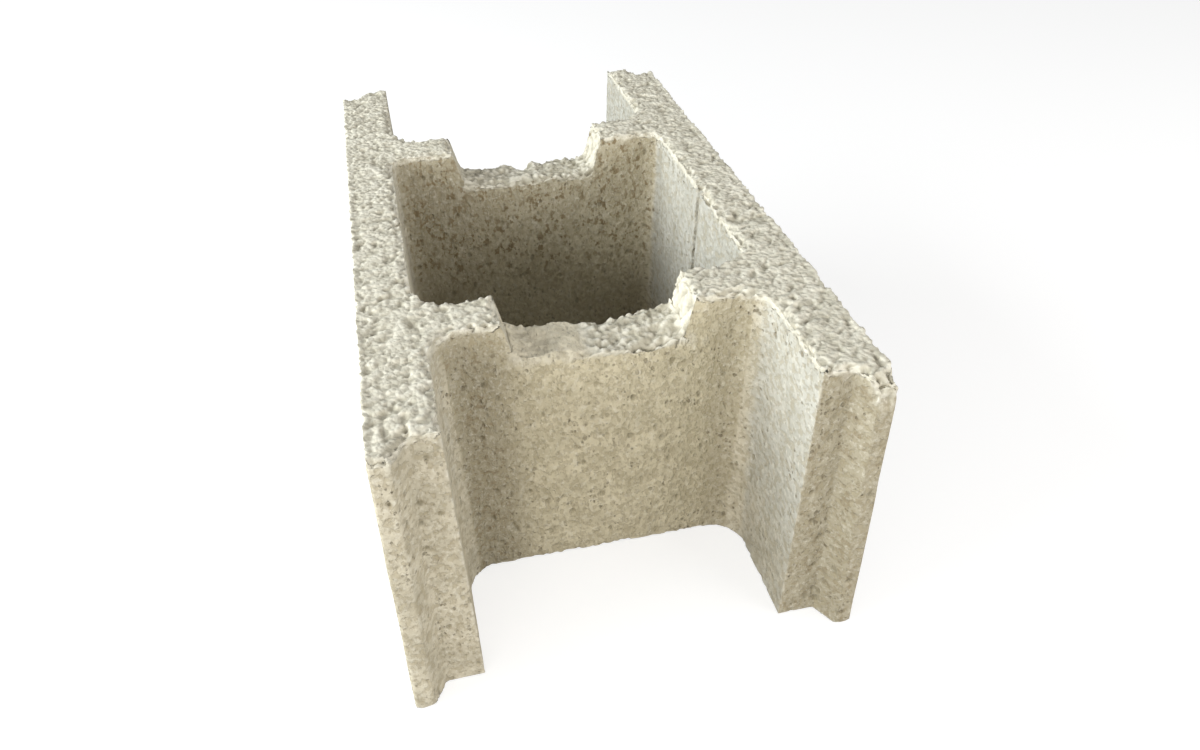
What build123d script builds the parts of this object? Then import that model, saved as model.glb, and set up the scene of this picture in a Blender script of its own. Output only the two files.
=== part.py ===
from build123d import *
import os

# Concrete shuttering block: two long shells joined by two notched webs, cast in one piece.
# X runs across the block, Y along it and Z up. The origin is the centre of the footprint.

# Whole block
face_length = 500.0      # length of one outer face, which is the laying module
block_width = 285.0      # over both outer faces
block_height = 200.0     # one course

# Shells, measured along the top, where the cores of the mould are widest
end_shell = 39.0         # beside the open end cells
middle_shell = 34.5      # beside the closed middle cell
shell_taper = 6.0        # a shell is this much thicker at its foot than at its top

# Webs, measured along the top
web_thickness = 35.0
middle_cell_length = 218.0    # clear distance between the two webs
web_taper = 1.0          # each web face leans out by this much from top to foot

# Upright corners of the cells
end_corner_radius = 22.0
middle_front_radius = 24.0
middle_rear_radius = 12.0

# Interlocking ends: outer tongues in front, the matching rebates behind
tongue_reach = 16.0
tongue_land = 12.0       # flat tip of a tongue, measured from the outer face
tongue_flank = 9.0       # width of the slanting flank behind the tip
joint_play = 1.0         # a rebate is this much wider than the tongue that it takes
tip_radius = 3.0
arris_radius = 1.5

# Notches in the tops of the webs, which hold the reinforcing bars
notch_width = 120.0      # across the mouth
notch_depth = 30.0
notch_flank = 7.5        # each side leans in by this much from mouth to floor
notch_radius = 4.0

# Splitting grooves at mid length, down the shell faces of the middle cell
groove_width = 5.0
groove_depth = 4.0

overcut = 20.0           # how far a cutting tool passes the faces that it opens

overall_length = face_length + tongue_reach
front_end = -overall_length / 2
front_recess = front_end + tongue_reach
rear_face = front_end + face_length
rear_end = overall_length / 2
mid_length = front_end + face_length / 2
web_inner = middle_cell_length / 2
web_outer = web_inner + web_thickness


def mirrored_outline(half):
    """Close a half outline, listed from the left of the centre line, with its mirror image."""
    return half + [(-x, y) for x, y in reversed(half)]


def block_outline():
    """Plan of the block with its interlocking ends, before the cells are taken out."""
    outer = -block_width / 2
    tip = outer + tongue_land
    root = tip + tongue_flank
    front = [(root, front_recess), (tip, front_end), (outer, front_end)]
    rear = [(outer, rear_face), (tip + joint_play, rear_face), (root + joint_play, rear_end)]
    outline = make_face(Polyline(*mirrored_outline(front + rear), close=True))
    tips = [v for v in outline.vertices() if v.Y < front_end + arris_radius]
    outline = fillet(tips, tip_radius)
    blunt = [v for v in outline.vertices() if v.Y > front_recess - arris_radius]
    return fillet(blunt, arris_radius)


def cell_core(y_front, y_rear, shell, front_radius, rear_radius):
    """Core that leaves one cell: widest at the top, with corners of the same radius all the way."""
    sections = []
    for height, lean in ((0.0, 1.0), (block_height, 0.0)):
        width = block_width - 2 * (shell + lean * shell_taper)
        front = y_front + lean * web_taper
        rear = y_rear - lean * web_taper
        section = Pos(0, (front + rear) / 2) * Rectangle(width, rear - front)
        front_corners = section.vertices().sort_by(Axis.Y)[:2]
        section = fillet(front_corners, front_radius)
        rear_corners = section.vertices().sort_by(Axis.Y)[-2:]
        sections.append(Pos(0, 0, height) * fillet(rear_corners, rear_radius))
    return loft(sections)


def groove_core():
    """Thin round-edged blade across the middle cell, which cuts both splitting grooves."""
    sections = []
    for height, lean in ((0.0, 1.0), (block_height, 0.0)):
        cell_width = block_width - 2 * (middle_shell + lean * shell_taper)
        blade = SlotOverall(cell_width + 2 * groove_depth, groove_width)
        sections.append(Pos(0, mid_length, height) * blade)
    return loft(sections)


def notch_tool():
    """Trapezoid bar that cuts the same notch through the tops of both webs."""
    floor = block_height - notch_depth
    mouth = notch_width / 2
    lean = notch_flank / notch_depth
    above = [(-(mouth + lean * overcut), block_height + overcut), (-(mouth - notch_flank), floor)]
    section = make_face(Polyline(*mirrored_outline(above), close=True))
    foot = [v for v in section.vertices() if v.Y < block_height]
    section = fillet(foot, notch_radius)
    return extrude(Plane.XZ * section, amount=overall_length / 2, both=True)


def shuttering_block():
    beyond = end_corner_radius + overcut
    front_core = cell_core(
        front_end - beyond, mid_length - web_outer,
        end_shell, end_corner_radius, end_corner_radius)
    middle_core = cell_core(
        mid_length - web_inner, mid_length + web_inner,
        middle_shell, middle_front_radius, middle_rear_radius)
    rear_core = cell_core(
        mid_length + web_outer, rear_end + beyond,
        end_shell, end_corner_radius, end_corner_radius)
    body = extrude(block_outline(), amount=block_height)
    return body - front_core - middle_core - rear_core - groove_core() - notch_tool()


os.makedirs("parts", exist_ok=True)
export_step(shuttering_block(), "parts/shuttering_block.step")
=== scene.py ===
import math
from itertools import product

import bmesh
import bpy
import numpy as np
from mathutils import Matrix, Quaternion, Vector
from mathutils.kdtree import KDTree


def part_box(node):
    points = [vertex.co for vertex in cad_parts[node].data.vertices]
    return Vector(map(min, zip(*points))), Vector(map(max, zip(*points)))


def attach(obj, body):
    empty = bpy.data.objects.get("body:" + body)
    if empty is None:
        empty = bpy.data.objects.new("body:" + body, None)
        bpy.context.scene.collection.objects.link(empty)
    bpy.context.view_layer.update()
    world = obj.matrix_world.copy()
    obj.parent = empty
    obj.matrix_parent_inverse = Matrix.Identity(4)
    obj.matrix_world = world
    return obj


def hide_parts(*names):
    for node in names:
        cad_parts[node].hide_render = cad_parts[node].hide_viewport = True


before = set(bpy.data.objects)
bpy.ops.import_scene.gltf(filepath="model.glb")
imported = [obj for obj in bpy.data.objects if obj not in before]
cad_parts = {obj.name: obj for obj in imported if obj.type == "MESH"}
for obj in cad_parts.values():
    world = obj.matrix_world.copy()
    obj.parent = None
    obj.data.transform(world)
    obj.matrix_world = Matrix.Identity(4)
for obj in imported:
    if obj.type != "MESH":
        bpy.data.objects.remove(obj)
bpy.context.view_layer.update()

# Camera: held above the near end of the block and a little to the left of its middle, looking
# down along it. The lens is given by how many pixels of the picture one unit of slope covers.
picture_width = 1200
focal_pixels = 961.1
sensor_width = 36.0
camera_place = Vector((-0.1076, -0.6229, 0.5085))
aim_point = Vector((-0.0064, -0.1771, 0.1700))
camera_roll = math.radians(-0.9)

camera_data = bpy.data.cameras.new("camera")
camera_data.sensor_width = sensor_width
camera_data.lens = focal_pixels * sensor_width / picture_width
camera_data.clip_start = 0.01
camera = bpy.data.objects.new("camera", camera_data)
camera.location = camera_place
camera.rotation_mode = "QUATERNION"
aim = (aim_point - camera_place).to_track_quat("-Z", "Y")
camera.rotation_quaternion = aim @ Quaternion((0, 0, 1), camera_roll)
bpy.context.scene.collection.objects.link(camera)
bpy.context.scene.camera = camera

# The block: one casting of semi-dry concrete, rammed into a steel mould and stripped at once.
# Its struck tops are open and nodular, its moulded faces are flatter and pitted, and its outward
# arrises have crumbled. It takes its shape from the solid and is then pressed in, point by point.
mm = 0.001
block_low, block_high = (np.array(corner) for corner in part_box("shuttering_block"))
block_top = block_high[2]
notch_floor = block_top - 30 * mm
notch_half = 59 * mm
near_web_middle = -134.5 * mm
far_web_middle = 118.5 * mm
web_reach = 23 * mm
groove_middle = -8 * mm
groove_reach = 10 * mm

# An even mesh of the solid, fine enough to carry the relief
square_size = 1.15 * mm
weld_gap = 0.01 * mm


def welded(mesh):
    """A mesh opened for editing, with its split corners joined."""
    form = bmesh.new()
    form.from_mesh(mesh)
    bmesh.ops.remove_doubles(form, verts=form.verts, dist=weld_gap)
    return form


def remeshed(mesh, size):
    """A new object with the shape of a mesh, in even squares of about this size."""
    piece = bpy.data.objects.new("block", mesh.copy())
    bpy.context.scene.collection.objects.link(piece)
    form = welded(mesh)
    form.to_mesh(piece.data)
    form.free()
    piece.data.remesh_voxel_size = size
    piece.data.remesh_voxel_adaptivity = 0
    bpy.ops.object.select_all(action="DESELECT")
    piece.select_set(True)
    bpy.context.view_layer.objects.active = piece
    bpy.ops.object.voxel_remesh()
    return piece


def triples(items, name):
    """One property of every point of a mesh, as rows of three numbers."""
    values = np.empty(len(items) * 3, np.float32)
    items.foreach_get(name, values)
    return values.reshape(-1, 3).astype(float)


cad_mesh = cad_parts["shuttering_block"].data
block = remeshed(cad_mesh, square_size)
points = triples(block.data.vertices, "co")
normals = triples(block.data.vertex_normals, "vector")
x, y, z = points.T


def ease(value, low, high):
    """0 at low, 1 at high and smooth between."""
    t = np.clip((value - low) / (high - low), 0, 1)
    return t * t * (3 - 2 * t)


# Which way each point faces
up = ease(normals[:, 2], 0.5, 0.8)
down = ease(-normals[:, 2], 0.5, 0.8)
side = np.clip(1 - up - down, 0, 1)
sideways = normals * (1, 1, 0)
sideways /= np.maximum(np.linalg.norm(sideways, axis=1, keepdims=True), 1e-6)
endways = np.abs(sideways[:, 1])

# Which part of the block each point is on, from 0 to 1. The left of the near notch's floor was
# scraped flat by the mould's shoe, and the rest of both floors is rough. A web counts with the
# rounded corners beside it, and the sides of the grooves don't count as end faces.
near_end = y < 0
beside_web = np.minimum(np.abs(y - near_web_middle), np.abs(y - far_web_middle)) < web_reach
on_top = ease(z, block_top - 8 * mm, block_top - 0.8 * mm)
on_floor = (ease(z, notch_floor - 8 * mm, notch_floor - 0.8 * mm)
            * ease(-z, -notch_floor - 8 * mm, -notch_floor - 1 * mm) * (np.abs(x) < notch_half))
scraped = near_end * ease(-x, -2 * mm, 14 * mm)
scraped_floor = scraped * on_floor
rough_floor = on_floor * (1 - scraped)
right_notch_side = ease(8.5 * mm - np.abs(x - 56 * mm), -2 * mm, 2 * mm)
right_notch_side *= ease(z, notch_floor - 4 * mm, notch_floor)
facing_end = ease(endways, 0.1, 0.9) * (np.abs(y - groove_middle) > groove_reach)
on_web = facing_end * beside_web
near_web = on_web * near_end
far_web = on_web * (y > 0)
shell_end = ease(np.abs(y), 236 * mm, 241 * mm) * ease(endways, 0.1, 0.4)
outer_rim = ease(block_high[0] - np.abs(x), 0, 6 * mm)

# Noise that the reliefs are made from. Every use has a seed of its own.
noise_period = 61


def soft_noise(points, lump, seed):
    """Smooth noise from -1 to 1, with lumps about as wide as lump."""
    grid = np.random.default_rng(seed).uniform(-1, 1, (noise_period,) * 3)
    at = points / lump
    cell = np.floor(at).astype(int)
    blend = at - cell
    blend = blend * blend * (3 - 2 * blend)
    total = np.zeros(len(points))
    for corner in product((0, 1), repeat=3):
        weight = np.where(corner, blend, 1 - blend).prod(axis=1)
        total += weight * grid[tuple(((cell + corner) % noise_period).T)]
    return total


def soft_drift(points, lump, seed):
    """Smooth noise in each of the three directions."""
    return np.stack([soft_noise(points, lump, seed + axis) for axis in range(3)], axis=1)


def grains(points, spacing, seed):
    """Distance to the nearest of many scattered grains, in spacings, and that grain's own number."""
    dice = np.random.default_rng(seed)
    seat = dice.uniform(0, 1, (noise_period,) * 3 + (3,))
    mark = dice.uniform(0, 1, (noise_period,) * 3)
    at = points / spacing
    cell = np.floor(at).astype(int)
    nearest = np.full(len(points), np.inf)
    number = np.zeros(len(points))
    for step in product((-1, 0, 1), repeat=3):
        home = cell + step
        key = tuple((home % noise_period).T)
        gap = np.linalg.norm(home + seat[key] - at, axis=1)
        closer = gap < nearest
        nearest[closer] = gap[closer]
        number[closer] = mark[key][closer]
    return nearest, number


# Struck tops: worm-like ridges and grains with gaps between them, shallower along the outer faces.
# The relief is one height field over the plan, so the faces just below an arris follow the line
# that it gives the arris. Its depths are in millimetres.
ridge_depth = 0.9
coarse_depth = 1.5
fine_depth = 0.6
hollow_depth = 1.2
plan = points * (1, 1, 0)
bent = plan + 1.4 * mm * soft_drift(plan, 6 * mm, seed=20) * (1, 1, 0)
slanted = np.stack([0.8 * bent[:, 0] + 0.8 * bent[:, 1], bent[:, 1] - bent[:, 0], bent[:, 2]], axis=1)
stretched = slanted * (0.75, 1.0, 1.0)
ridge = 1 - np.abs(soft_noise(stretched, 4.2 * mm, seed=1))
coarse, coarse_number = grains(stretched, 6.0 * mm, seed=2)
fine, _ = grains(bent, 2.8 * mm, seed=3)
swell = soft_noise(plan, 24 * mm, seed=4)
lumps = soft_noise(plan, 9 * mm, seed=5)
hollows = ease(soft_noise(plan, 5.5 * mm, seed=12) + 0.4 * lumps, 0.5, 0.85)
struck = mm * ((ridge_depth * (1 - ridge) + coarse_depth * coarse**2 * (0.6 + 0.8 * coarse_number)
                + fine_depth * fine**2 + hollow_depth * hollows + 0.25 * (1 + lumps))
               * (0.3 + 0.7 * outer_rim) + 0.2 * (1 + swell) + 0.1)

# Notch floors: lumpier than the tops, and higher at both sides. The near one rises to its left and
# towards the rear on its right.
floor_shape = mm * (1.3 * lumps + 0.7 * swell)
floor_shape -= 3.0 * mm * ease(np.abs(x), 38 * mm, 54 * mm)
floor_shape -= near_end * 2.5 * mm * ease(-x, 2 * mm, 30 * mm)
floor_shape -= near_end * 4.0 * mm * ease(x, 5 * mm, 48 * mm) * ease(y, -150 * mm, -120 * mm)

# Moulded faces: a little wavy, with pits that are taller than they are wide and lie in clusters
upright = np.array([1.0, 1.0, 0.65])
wander = soft_drift(points, 3.5 * mm, seed=30)
cluster = soft_noise(points, 28 * mm, seed=13)
pit_gap, pit_number = grains((points + 1.1 * mm * wander) * upright, 9.0 * mm, seed=6)
pits = ease(0.13 + 0.10 * (pit_number * 7.0 % 1.0) - pit_gap, -0.04, 0.06)
pits = pits * (pit_number > 0.5 - 0.3 * cluster)
wave = soft_noise(points, 24 * mm, seed=9)
ripple = soft_noise(points * upright, 9 * mm, seed=8)
moulded = mm * ((0.9 + 0.5 * on_web) * pits + 0.25 * (1 + wave) + (0.1 + 0.2 * shell_end) * (1 + ripple))

# Rubble: where the concrete broke or tore, as on the right-hand notch sides
rubble_place = points + 1.4 * mm * wander
rubble_gap, rubble_number = grains(rubble_place, 4.6 * mm, seed=14)
rubble = mm * (2.6 * rubble_gap**2 * (0.6 + 0.8 * rubble_number)
               + 1.1 * np.abs(soft_noise(rubble_place, 2.6 * mm, seed=15)))
torn = right_notch_side * beside_web * ease(np.abs(normals[:, 0]) + 0.3 * cluster, 0.25, 0.7)

# Arrises: pushed in along their own direction, most where a top meets a moulded face
arris_spacing = 1.0 * mm
sharp_angle = math.radians(30)


def arris_places(mesh, apart):
    """Places along the outward arrises of a mesh, each with its outward direction and its rise."""
    form = welded(mesh)
    form.normal_update()
    places = []
    for edge in form.edges:
        if len(edge.link_faces) == 2 and edge.calc_face_angle_signed(0) > sharp_angle:
            outward = (edge.link_faces[0].normal + edge.link_faces[1].normal).normalized()
            a, b = (v.co for v in edge.verts)
            steps = max(1, math.ceil((b - a).length / apart))
            rise = abs(b.z - a.z) / max((b - a).length, weld_gap)
            places += [(*a.lerp(b, (i + 0.5) / steps), *outward, rise) for i in range(steps)]
    form.free()
    return np.array(places)


arrises = arris_places(cad_mesh, arris_spacing)
finder = KDTree(len(arrises))
for index, place in enumerate(arrises):
    finder.insert(place[:3], index)
finder.balance()
nearest_arris = [finder.find(point) for point in points]
arris_gap = np.array([found[2] for found in nearest_arris])
arris = arrises[[found[1] for found in nearest_arris]]
outward = arris[:, 3:6]
struck_arris = (arris[:, 6] < 0.7) & (outward[:, 2] > 0.3)

crumb = soft_noise(points, 2.6 * mm, seed=10) + 0.7 * soft_noise(points, 5.5 * mm, seed=16)
bite = soft_noise(points, 14 * mm, seed=11)
wear_width = np.where(struck_arris, 6.5 * mm, 3.4 * mm)
wear_depth = np.where(struck_arris, 1.7 * mm, 0.9 * mm) * (0.5 + 0.5 * outer_rim)
near_arris = np.clip(1 - arris_gap / wear_width, 0, 1) ** 2
worn = wear_depth * near_arris * np.clip(0.3 + 1.0 * crumb + 0.9 * bite, 0.0, None)
crumbled = np.sqrt(near_arris) * struck_arris * (0.3 + 0.7 * outer_rim)
worn += 1.5 * crumbled * rubble * ease(bite + crumb, -1.3, 0.3)

# How far each point moves: down into the tops and floors, into the moulded faces and underside,
# and in from the arrises
fall = on_top * struck + on_floor * (struck * (1 - 0.6 * scraped) + floor_shape)
fall += rough_floor * (rubble - 0.8 * mm)
shift = -np.outer(fall, (0, 0, 1)) - sideways * (side * moulded)[:, None] - outward * worn[:, None]
shift += np.outer(down * moulded, (0, 0, 1))

# Bites, holes and a raised corner that show one by one: their middle, reach and push, all in
# millimetres. A bite that pushes along the block leaves it torn as well.
single_bites = [
    # crumbled head of the right-hand tongue
    ((134, -257, 199), (11, 9, 11), (0, 3.0, -4.5)),
    ((142, -255, 199), (7, 12, 9), (-1.5, 1.0, -3.5)),
    ((124, -247, 200), (7, 6, 7), (-0.5, 1.0, -2.0)),
    ((135, -258, 189), (13, 9, 15), (0, 0.8, -0.5)),
    # flaked edge of the left-hand tongue
    ((-140, -258, 200), (4, 5, 6), (0.5, 1.0, -2.5)),
    ((-133, -258, 200), (3, 4, 5), (0, 1.0, -1.2)),
    # holes and cracks in the struck tops
    ((116.7, -167.3, 198), (2.6, 3.8, 7), (0, 0, -4.0)),
    ((115.5, -176.8, 198), (3.2, 3.2, 7), (0, 0, -4.5)),
    ((137.4, -201.3, 198), (6, 2.0, 6), (0, 0, -2.5)),
    ((88, -148, 198), (6, 2.2, 7), (0, 0, -3.0)),
    ((-120.7, -234.2, 198), (2.4, 3.4, 6), (0, 0, -3.0)),
    ((-126.5, 203.8, 198), (9, 2.0, 6), (0, 0, -2.0)),
    ((-128.7, 124, 198), (3.4, 4.0, 6), (0, 0, -2.5)),
    # notch floors: a hole and a broken front edge in the near one, a scoop in the far one
    ((2.5, -145, 169), (4.5, 4.5, 7), (0, 0, -4.0)),
    ((34, -153, 170), (13, 8, 8), (0, 1.2, -2.2)),
    ((-2, 136, 169), (9, 14, 12), (0, 0, -7.0)),
    # the near web's left shoulder stands a little higher at its rear corner
    ((-63, -121, 199), (9, 9, 9), (0, 0, 1.6)),
    # chip beside the right-hand groove
    ((108, -22, 200), (5, 13, 7), (2.5, 0, -3.5)),
]


def closeness(middle, reach):
    """1 at the middle of an egg-shaped space given in millimetres, 0 at its rim and less outside."""
    offset = (points - np.array(middle) * mm) / (np.array(reach) * mm)
    return 1 - np.linalg.norm(offset, axis=1)


for middle, reach, push in single_bites:
    depth = ease(closeness(middle, reach) + 0.18 * crumb, 0.0, 0.8)
    shift += np.outer(depth, push) * mm
    torn = np.maximum(torn, depth * (push[1] != 0))
shift -= normals * (torn * rubble)[:, None]

# Larger pits that show in the near web and then in the near ends of the shells, in millimetres
front_pits = [(-6, -152, 117), (4, -152, 117), (-3, -152, 144), (-74, -153, 156), (-22, -152, 38),
              (-39, -152, 51), (5, -152, 15), (-72, -153, 68), (40, -152, 31), (54, -152, 34),
              (-50, -152, 63), (-63, -152, 35), (-76, -153, 44),
              (-120, -243, 152), (-121, -243, 137), (-120, -243, 118), (-110, -242, 142),
              (-113, -242, 182), (-135, -258, 169), (108, -242, 107), (112, -242, 83),
              (118, -242, 67), (118, -242, 42), (120, -242, 19), (135, -258, 39)]
front_pit_reach = (2.1, 4, 2.9)
front_pit_depth = 2.2 * mm
deep_pits = np.zeros(len(points))
for place in front_pits:
    deep_pits = np.maximum(deep_pits, ease(closeness(place, front_pit_reach), 0.0, 0.6))
shift += np.outer(front_pit_depth * deep_pits, (0, 1, 0))

# The mesh takes the relief, and never comes out of the solid's own box
box_margin = 0.05 * mm
relief = np.clip(points + shift, block_low + box_margin, block_high - box_margin)
block.data.vertices.foreach_set("co", relief.astype(np.float32).ravel())

# Layers of the mesh that the material reads, each from 0 to about 1: painted shade in gaps and pits,
# struck or torn concrete, wear with painted highlight, warm beige that is partly the end faces' tone and
# partly painted warm shade, the webs' tone, painted shade in shaded places, and flecked places
near_top = struck_arris * ease(-arris_gap + 2.2 * mm * crumb, -7 * mm, -2.5 * mm)
struck_share = np.clip(np.maximum(up, near_top) + torn - scraped_floor, 0, 1)
# Warm beige: partly the end faces' own tone, and painted warm shade on the left-hand shell's side faces
# and low down on every side face
beige_and_warm_shade = np.maximum(np.maximum(facing_end, shell_end) * side, scraped_floor)
beige_and_warm_shade = np.maximum(beige_and_warm_shade, 0.6 * (x < 0) * side)
beige_and_warm_shade = np.clip(beige_and_warm_shade + 0.5 * side * ease(-z, -120 * mm, -20 * mm), 0, 1)
gaps = np.clip(0.8 * (1 - ridge) + 0.5 * coarse**2 + 0.35 * fine**2 + 0.5 * hollows - 0.2, 0, 1)
rubbly = np.maximum(np.maximum(torn, rough_floor), 0.8 * crumbled)
# Painted shade: darker in the gaps between the tops' grains, in the pits and deep pits, and among the
# rubble, where shade falls
painted_hollow_shade = up * gaps * (1 - 0.8 * scraped_floor) + side * pits + deep_pits
painted_hollow_shade = np.clip(painted_hollow_shade + rubbly * (1.5 * rubble_gap**2 - 0.15), 0, 1)
# Pale wear on arrises, rubble, the tongue's head and the scraped floor, which on the arrises and rubble
# is partly painted highlight where they catch the light
wear_and_highlight = near_arris * (1 - down) * ease(crumb, -0.6, 0.7) + 0.6 * scraped_floor
wear_and_highlight += rubbly * ease(0.55 - rubble_gap, 0, 0.35)
tongue_head = shell_end * near_end * ease(x, 112 * mm, 122 * mm) * ease(z, 182 * mm, 193 * mm)
wear_and_highlight += 1.2 * tongue_head * ease(0.65 - rubble_gap, 0, 0.3)
painted_hollow_shade *= 1 - 0.5 * tongue_head
# Painted shade: the near web darker towards both its corners, the far web darker all over and more to
# the left and higher up, and the faces of the right-hand tongue darker
painted_shade = near_web * (ease(-x, 40 * mm, 72 * mm) + 0.7 * ease(x, 60 * mm, 84 * mm))
painted_shade += far_web * (0.35 + 0.4 * ease(-x, 20 * mm, 80 * mm) + 0.4 * ease(z, 100 * mm, 160 * mm))
painted_shade += 0.85 * shell_end * (x > 0) * side
mottled = near_web * (0.8 * ease(-x, 48 * mm, 74 * mm) + 0.4 * ease(x, 68 * mm, 86 * mm))
mottled += 1.3 * far_web * ease(z, 40 * mm, 110 * mm)
mottled += shell_end * near_end * np.where(x > 0, 0.6, 0.35)
layers = {"painted_hollow_shade": painted_hollow_shade, "struck": struck_share, "worn": wear_and_highlight, "beige_and_warm_shade": beige_and_warm_shade,
          "web": on_web * side + scraped_floor, "painted_shade": painted_shade, "mottled": mottled * side}
for name, values in layers.items():
    mesh_layer = block.data.attributes.new(name, "FLOAT", "POINT")
    mesh_layer.data.foreach_set("value", values.astype(np.float32))

# Flatter stretches give up triangles until the block is within its limit. A square is two.
most_triangles = 196000
slim = block.modifiers.new("slim", "DECIMATE")
slim.ratio = min(1.0, most_triangles / (2 * len(block.data.polygons)))
bpy.context.view_layer.update()
slimmed = block.evaluated_get(bpy.context.evaluated_depsgraph_get())
block.data = bpy.data.meshes.new_from_object(slimmed)
block.modifiers.clear()
block.data.polygons.foreach_set("use_smooth", [True] * len(block.data.polygons))
block.data.materials.clear()

# Material: pale grey-beige concrete, with painted shade darkening its pits and gaps, paler on struck
# tops, and paler on worn arrises, where the paleness is partly painted highlight
concrete = bpy.data.materials.new("cast_concrete")
concrete.use_nodes = True
recipe = concrete.node_tree


def add_node(tree, kind, inputs, output, **settings):
    """One output of a new node. An input is a number, a colour or the output of another node."""
    node = tree.nodes.new(kind)
    for name, value in settings.items():
        setattr(node, name, value)
    for name, value in inputs.items():
        if isinstance(value, bpy.types.NodeSocket):
            tree.links.new(value, node.inputs[name])
        else:
            node.inputs[name].default_value = value
    return node.outputs[output]


def mix(tree, share, first, second):
    """A colour between two others. A Mix node keeps its colours at 6 and 7 and their mix at 2."""
    return add_node(tree, "ShaderNodeMix", {0: share, 6: first, 7: second}, 2, data_type="RGBA")


# Marks laid out in tall are longer upwards and along the block than across it
place = add_node(recipe, "ShaderNodeTexCoord", {}, "Object")
tall = add_node(recipe, "ShaderNodeMapping", {"Vector": place, "Scale": (1.0, 0.55, 0.75)}, "Vector")


def noise(scale, detail=4.0, rough=0.6, vector=place):
    """Cloudy noise with about this many clouds to a metre."""
    inputs = {"Scale": scale, "Detail": detail, "Roughness": rough, "Vector": vector}
    return add_node(recipe, "ShaderNodeTexNoise", inputs, "Fac")


def remap(value, low, high, to_low=0.0, to_high=1.0):
    """to_low at low, to_high at high and smooth between."""
    inputs = {"Value": value, "From Min": low, "From Max": high, "To Min": to_low, "To Max": to_high}
    return add_node(recipe, "ShaderNodeMapRange", inputs, "Result", interpolation_type="SMOOTHSTEP")


def combine(operation, first, second):
    """The sum, difference, product or larger one of two values."""
    return add_node(recipe, "ShaderNodeMath", {0: first, 1: second}, "Value", operation=operation)


def layer(name):
    """One of the mesh's layers."""
    return add_node(recipe, "ShaderNodeAttribute", {}, "Fac", attribute_name=name)


# Pits too small for the mesh, each of its own size and with a crooked rim
rim_sway = (2.2 * mm, 2.2 * mm, 2.2 * mm)
wobble = add_node(recipe, "ShaderNodeTexNoise", {"Scale": 420, "Vector": tall}, "Color")
crooked = add_node(recipe, "ShaderNodeVectorMath", {0: wobble, 1: rim_sway, 2: tall}, "Vector",
                   operation="MULTIPLY_ADD")


def pitting(scale, widest, share):
    """1 in pits of one size range, of which a share of the places has one, and 0 elsewhere."""
    gap = add_node(recipe, "ShaderNodeTexVoronoi", {"Scale": scale, "Vector": crooked}, "Distance")
    dice = add_node(recipe, "ShaderNodeSeparateColor", {"Color": gap.node.outputs["Color"]}, "Red")
    radius = remap(dice, 1 - share, 1.0, -0.1, widest)
    return remap(combine("SUBTRACT", gap, radius), 0.09, -0.07)


smooth_face = combine("SUBTRACT", 1.0, layer("struck"))
clumps = remap(noise(40, 2.0), 0.42, 0.62, 0.15, 1.0)
small_pits = combine("MAXIMUM", pitting(200, 0.27, 0.35),
                     combine("MULTIPLY", pitting(420, 0.34, 0.6), 0.8))
small_pits = combine("MULTIPLY", small_pits, combine("MULTIPLY", smooth_face, clumps))

# Dark flecks, thick on the far web and in the corners of the near one
flecks = remap(noise(240, 3.0, 0.6, tall), 0.51, 0.61)
flecks = combine("MULTIPLY", flecks, remap(noise(70, 2.0), 0.35, 0.6, 0.2, 1.0))
flecks = combine("MULTIPLY", flecks, layer("mottled"))

# Shallow dents, painted darker with shade, brown stains and pale plates of paste, all over the moulded
# faces
dents = combine("MULTIPLY", remap(noise(210, 2.0, 0.5, tall), 0.68, 0.26), smooth_face)
dents = combine("MULTIPLY", dents, remap(layer("web"), 0, 1, 0.85, 1))
stains = combine("MULTIPLY", remap(noise(330, 3.0, 0.6, tall), 0.51, 0.42), smooth_face)
plates = combine("MULTIPLY", remap(noise(190, 3.0, 0.6), 0.55, 0.62), smooth_face)

# Ground colours: a cool tone on the shells, warmer on the ends and webs, palest on the struck tops.
# The cool tone is painted light, for the cool key light on the right-hand shell; the warm beige laid
# over the left-hand shell and the lower faces is painted warm shade.
broad = remap(noise(40, 5.0, 0.7), 0.36, 0.64)
cool_lit_shell_tone = mix(recipe, broad, (0.50, 0.49, 0.43, 1), (0.58, 0.57, 0.51, 1))
end_tone = mix(recipe, broad, (0.53, 0.485, 0.375, 1), (0.665, 0.61, 0.48, 1))
web_tone = mix(recipe, broad, (0.58, 0.52, 0.37, 1), (0.72, 0.65, 0.475, 1))
painted_shade_tone = (0.445, 0.40, 0.295, 1)
struck_tone = mix(recipe, remap(noise(70), 0.35, 0.65), (0.66, 0.625, 0.515, 1), (0.765, 0.73, 0.615, 1))
end_tone = mix(recipe, layer("web"), end_tone, web_tone)
# painted shade over the ends and webs
end_tone = mix(recipe, layer("painted_shade"), end_tone, painted_shade_tone)
blotchy = combine("ADD", layer("beige_and_warm_shade"), remap(noise(90, 3.0), 0.3, 0.7, -0.12, 0.12))
colour = mix(recipe, remap(blotchy, 0.1, 0.9), cool_lit_shell_tone, end_tone)

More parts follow.
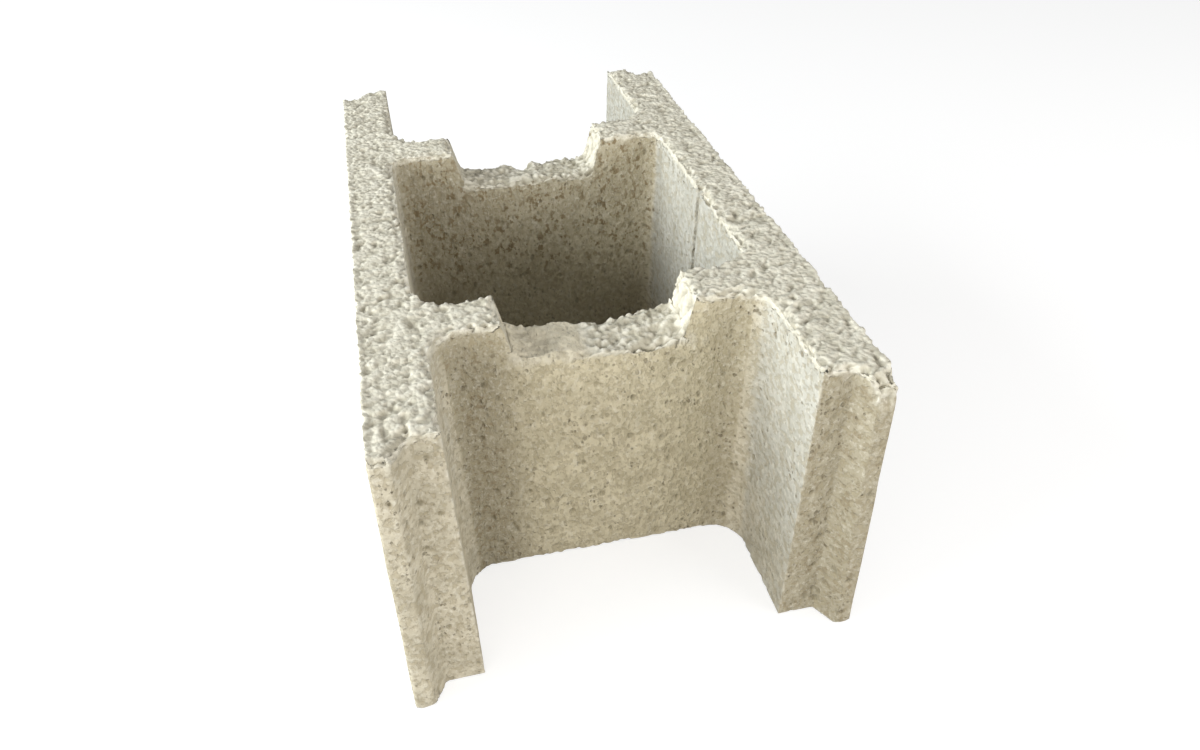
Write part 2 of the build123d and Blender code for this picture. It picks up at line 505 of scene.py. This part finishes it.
# Over the ground, one after another: how much of each tone shows, and the tone
paste_pale = (0.84, 0.81, 0.71, 1)
wear_and_highlight_pale = (0.86, 0.83, 0.74, 1)
stain_and_shade_brown = (0.38, 0.32, 0.20, 1)
fleck_brown = (0.28, 0.22, 0.13, 1)
pit_shade_brown = (0.22, 0.185, 0.12, 1)
hollow_shade_brown = (0.28, 0.25, 0.17, 1)
coats = [
    (layer("struck"), struck_tone),
    (remap(noise(420, 2.0), 0.55, 0.75, 0.0, 0.45), paste_pale),
    (combine("MULTIPLY", plates, 0.22), paste_pale),
    (combine("MULTIPLY", stains, 0.4), stain_and_shade_brown),
    # painted shade in the shallow dents
    (combine("MULTIPLY", dents, 0.12), stain_and_shade_brown),
    (combine("MULTIPLY", flecks, 0.8), fleck_brown),
    # painted shade in the small pits
    (combine("MULTIPLY", small_pits, 0.7), pit_shade_brown),
    # wear, partly painted highlight on the arrises
    (remap(layer("worn"), 0.05, 0.8, 0.0, 0.3), wear_and_highlight_pale),
    # painted shade in the gaps and pits
    (remap(layer("painted_hollow_shade"), 0.1, 0.9, 0.0, 0.5), hollow_shade_brown),
]
for share, tone in coats:
    colour = mix(recipe, share, colour, tone)

# Fine relief that the mesh is too coarse to carry: how high each kind stands, in metres
packing = add_node(recipe, "ShaderNodeTexVoronoi", {"Scale": 310, "Vector": place}, "Distance")
grit = combine("MULTIPLY", combine("SUBTRACT", 1.0, packing), layer("struck"))
fine_reliefs = [
    (noise(620, 3.0, 0.65), 0.25 * mm),
    (grit, 0.85 * mm),
    (combine("SUBTRACT", 1.0, dents), 0.7 * mm),
    (combine("SUBTRACT", 1.0, stains), 0.3 * mm),
    (combine("SUBTRACT", 1.0, small_pits), 0.7 * mm),
]
surface = None
for height, tallest in fine_reliefs:
    inputs = {"Height": height, "Distance": tallest}
    if surface:
        inputs["Normal"] = surface
    surface = add_node(recipe, "ShaderNodeBump", inputs, "Normal")

shader = recipe.nodes["Principled BSDF"]
shader.inputs["Specular IOR Level"].default_value = 0.2
recipe.links.new(colour, shader.inputs["Base Color"])
recipe.links.new(remap(noise(300), 0.3, 0.7, 0.86, 0.98), shader.inputs["Roughness"])
recipe.links.new(surface, shader.inputs["Normal"])

block.data.materials.append(concrete)
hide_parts("shuttering_block")
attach(block, "root")

# Floor: a plain pale studio sweep. To the camera it is nearly white and still takes the block's
# shadow, and to other rays it is grey, so that it doesn't light the block from below.
floor_half = 6.0
floor_glow = 0.70
seen_grey = (0.40, 0.40, 0.40, 1)
unseen_grey = (0.25, 0.25, 0.24, 1)

floor_mesh = bpy.data.meshes.new("floor")
corners = [(i * floor_half, j * floor_half, 0) for i, j in ((-1, -1), (1, -1), (1, 1), (-1, 1))]
floor_mesh.from_pydata(corners, [], [(0, 1, 2, 3)])
floor = bpy.data.objects.new("floor", floor_mesh)
bpy.context.scene.collection.objects.link(floor)


def seen_share(tree):
    """1 for rays that show a thing to the camera, straight, in a gloss or through glass."""
    path = tree.nodes.new("ShaderNodeLightPath").outputs
    share = path["Is Camera Ray"]
    for kind in ("Is Glossy Ray", "Is Transmission Ray"):
        share = add_node(tree, "ShaderNodeMath", {0: share, 1: path[kind]}, "Value", operation="MAXIMUM")
    return share


floor_material = bpy.data.materials.new("floor")
floor_material.use_nodes = True
floor_recipe = floor_material.node_tree
seen = seen_share(floor_recipe)
floor_colour = mix(floor_recipe, seen, unseen_grey, seen_grey)
glow = add_node(floor_recipe, "ShaderNodeMath", {0: seen, 1: floor_glow}, "Value", operation="MULTIPLY")
floor_shader = floor_recipe.nodes["Principled BSDF"]
floor_shader.inputs["Roughness"].default_value = 0.9
floor_shader.inputs["Specular IOR Level"].default_value = 0.0
floor_shader.inputs["Emission Color"].default_value = (1.0, 1.0, 1.0, 1)
floor_recipe.links.new(floor_colour, floor_shader.inputs["Base Color"])
floor_recipe.links.new(glow, floor_shader.inputs["Emission Strength"])
floor_mesh.materials.append(floor_material)

# Studio light: a long soft box low on the left, a smaller one on each side of the camera, and an
# even pale surround, which the camera sees as white.
surround_light = 0.32
surround_seen = 1.0

studio = bpy.data.worlds.new("studio")
studio.use_nodes = True
studio_recipe = studio.node_tree
brightness = {"Value": seen_share(studio_recipe), "To Min": surround_light, "To Max": surround_seen}
strength = add_node(studio_recipe, "ShaderNodeMapRange", brightness, "Result")
surround = studio_recipe.nodes["Background"]
surround.inputs["Color"].default_value = (1.0, 1.0, 1.0, 1)
studio_recipe.links.new(strength, surround.inputs["Strength"])
bpy.context.scene.world = studio


def soft_box(name, place, wide, tall, watts, tint):
    """A rectangular lamp that faces the block."""
    lamp_data = bpy.data.lights.new(name, "AREA")
    lamp_data.shape = "RECTANGLE"
    lamp_data.size = wide
    lamp_data.size_y = tall
    lamp_data.energy = watts
    lamp_data.color = tint
    lamp = bpy.data.objects.new(name, lamp_data)
    lamp.location = place
    aim = Vector((0, 0, 0.1)) - lamp.location
    lamp.rotation_euler = aim.to_track_quat("-Z", "Y").to_euler()
    bpy.context.scene.collection.objects.link(lamp)


soft_box("left_box", (-1.5, 0.12, 0.8), wide=2.2, tall=0.9, watts=40.5, tint=(0.93, 0.98, 1.0))
soft_box("near_left_box", (-0.9, -1.5, 0.55), wide=1.4, tall=0.8, watts=15.5, tint=(1.0, 0.97, 0.92))
soft_box("near_right_box", (1.3, -1.1, 0.7), wide=1.4, tall=0.8, watts=18.0, tint=(1.0, 0.98, 0.95))

bpy.context.scene.view_settings.view_transform = "Standard"
